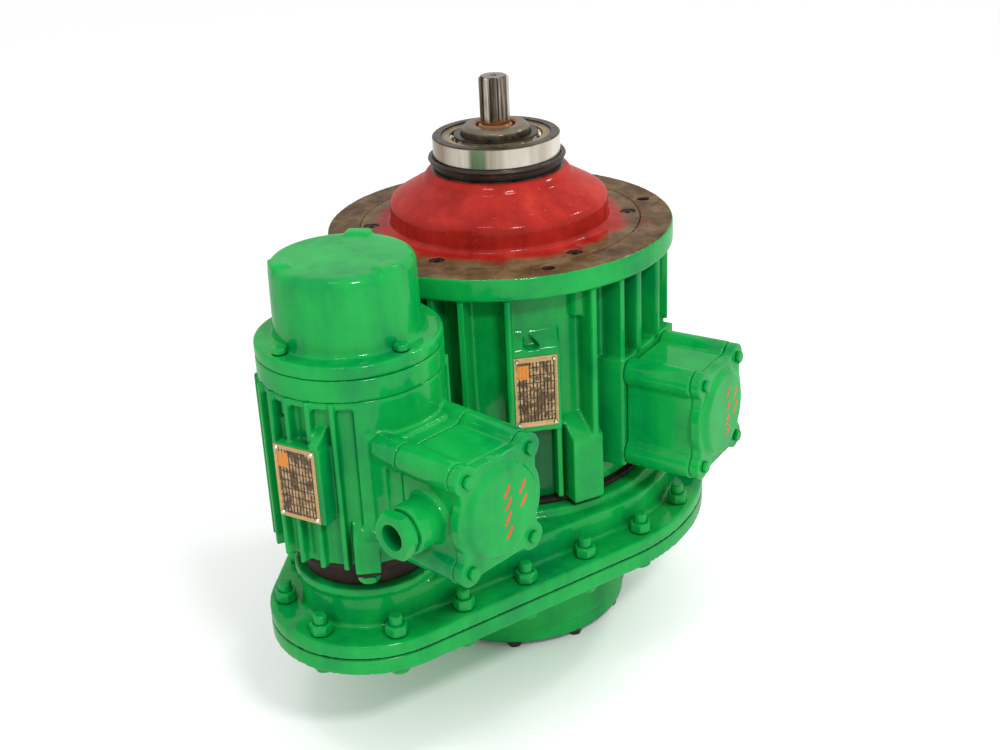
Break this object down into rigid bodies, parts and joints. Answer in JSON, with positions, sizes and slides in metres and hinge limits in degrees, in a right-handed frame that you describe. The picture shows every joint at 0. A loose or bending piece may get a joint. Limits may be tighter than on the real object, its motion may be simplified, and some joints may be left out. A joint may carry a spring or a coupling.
{
  "type": "two-speed hoist drive gearbox",
  "caption": "Hoist drive: a finned main brake motor with splined shaft and a small creep-speed motor, joined by an oval spur gearbox.",
  "frame": {"origin": "centre of the machined top face of the big flange, on the main shaft line", "axes": "+Z along the main shaft, out of the splined end; the creep-speed motor stands on the -X side"},
  "size_m": [0.5616, 0.4333, 0.556],
  "materials": {
    "green_enamel": "glossy hand-brushed enamel",
    "red_enamel": "glossy enamel",
    "bearing_steel": "ground and polished",
    "shaft_steel": "machined, lightly rusted",
    "dark_steel": "dark oily",
    "rusty_iron": "primed and rusted",
    "cast_iron": "machined casting",
    "lamination": "stacked sheet",
    "winding": "varnished copper",
    "gear_steel": "hobbed and oiled",
    "bronze": "turned",
    "friction": "moulded lining",
    "spring_steel": "coiled",
    "brass_plate": "etched and lacquered",
    "moulding": "moulded insulating block",
    "gasket_paper": "oiled sheet",
    "zinc_bolt": "zinc plated",
    "bare_cage": "pressed"
  },
  "bodies": {
    "casing": {"main_frame": "green_enamel", "front_cover": "red_enamel", "front_cover_screws": "dark_steel", "main_nameplate": "brass_plate", "aux_nameplate": "brass_plate", "nameplate_rivets": "bearing_steel", "drum_bearing_stop_ring": "dark_steel", "drum_bearing_inner_ring": "bearing_steel", "main_stator_core": "lamination", "main_stator_windings": "winding", "main_bearing_outer_rings": "bearing_steel", "main_lower_shield": "rusty_iron", "gearbox_upper_housing": "green_enamel", "gearbox_gasket": "gasket_paper", "gearbox_lower_housing": "green_enamel", "gearbox_rim_bolts": "green_enamel", "gearbox_rim_nuts": "green_enamel", "bottom_cover": "green_enamel", "bottom_cover_bolts": "dark_steel", "foot_bolts": "green_enamel", "gear_hub_bush": "bronze", "cluster_bushes": "bronze", "aux_frame": "green_enamel", "aux_end_shield": "green_enamel", "aux_brake_cover": "green_enamel", "aux_cover_bolts": "green_enamel", "aux_lower_shield": "rusty_iron", "aux_stator_core": "lamination", "aux_stator_windings": "winding", "aux_bearing_outer_rings": "bearing_steel", "main_terminal_box": "green_enamel", "aux_terminal_box": "green_enamel", "main_terminal_cover": "green_enamel", "aux_terminal_cover": "green_enamel", "terminal_cover_bolts": "green_enamel", "terminal_blocks": "moulding", "cable_gland_nuts": "green_enamel"},
    "main_release_collar": {"main_spring_collar": "cast_iron", "main_brake_spring": "spring_steel"},
    "main_rotor": {"main_shaft": "shaft_steel", "main_rotor_core": "lamination", "main_brake_wheel": "cast_iron", "main_brake_lining": "friction", "main_brake_nut": "zinc_bolt"},
    "main_bearing_roller_sets": {"main_bearing_rollers": "bearing_steel"},
    "creep_gear": {"large_gear": "gear_steel", "brake_drum": "cast_iron", "brake_seat_ring": "cast_iron"},
    "cluster": {"cluster_shaft": "gear_steel", "cluster_gear": "gear_steel"},
    "aux_release_collar": {"aux_spring_collar": "cast_iron", "aux_brake_spring": "spring_steel"},
    "aux_rotor": {"aux_shaft": "gear_steel", "aux_rotor_core": "lamination", "aux_brake_wheel": "cast_iron", "aux_brake_lining": "friction"},
    "aux_bearing_roller_sets": {"aux_bearing_rollers": "bearing_steel"},
    "drum_bearing_ring": {"drum_bearing_outer_ring": "bearing_steel"},
    "drum_ball_set": {"drum_bearing_balls": "bearing_steel", "drum_bearing_cage": "bare_cage"}
  },
  "joints": [
    {"name": "main_release", "type": "slide", "parent": "casing", "child": "main_release_collar", "axis": [0, 0, 1], "range_m": [0, 0.002], "stiffness_N_per_m": 60000, "springref_m": -0.012, "deforming": ["main_brake_spring"]},
    {"name": "main_spin", "type": "hinge", "parent": "main_release_collar", "child": "main_rotor", "pos_m": [0, 0, 0], "axis": [0, 0, 1], "continuous": true},
    {"name": "main_rollers_spin", "type": "hinge", "parent": "casing", "child": "main_bearing_roller_sets", "pos_m": [0, 0, 0], "axis": [0, 0, 1], "continuous": true},
    {"name": "creep_spin", "type": "hinge", "parent": "casing", "child": "creep_gear", "pos_m": [0, 0, -0.28], "axis": [0, 0, 1], "continuous": true},
    {"name": "cluster_spin", "type": "hinge", "parent": "casing", "child": "cluster", "pos_m": [-0.156, 0, -0.275], "axis": [0, 0, 1], "continuous": true},
    {"name": "aux_release", "type": "slide", "parent": "casing", "child": "aux_release_collar", "axis": [0, 0, 1], "range_m": [0, 0.0015], "stiffness_N_per_m": 12000, "springref_m": -0.01, "deforming": ["aux_brake_spring"]},
    {"name": "aux_spin", "type": "hinge", "parent": "aux_release_collar", "child": "aux_rotor", "pos_m": [-0.252, 0, 0], "axis": [0, 0, 1], "continuous": true},
    {"name": "aux_rollers_spin", "type": "hinge", "parent": "casing", "child": "aux_bearing_roller_sets", "pos_m": [-0.252, 0, 0], "axis": [0, 0, 1], "continuous": true},
    {"name": "drum_ring_spin", "type": "hinge", "parent": "casing", "child": "drum_bearing_ring", "pos_m": [0, 0, 0.073], "axis": [0, 0, 1], "continuous": true},
    {"name": "drum_balls_spin", "type": "hinge", "parent": "casing", "child": "drum_ball_set", "pos_m": [0, 0, 0.073], "axis": [0, 0, 1], "continuous": true}
  ],
  "couplings": [
    {"joint": "cluster_spin", "follows": "creep_spin", "ratio": -3.3333},
    {"joint": "aux_spin", "follows": "creep_spin", "ratio": 10},
    {"joint": "aux_rollers_spin", "follows": "creep_spin", "ratio": 3.8941},
    {"joint": "main_rollers_spin", "follows": "main_spin", "ratio": 0.394},
    {"joint": "drum_balls_spin", "follows": "drum_ring_spin", "ratio": 0.5897}
  ]
}
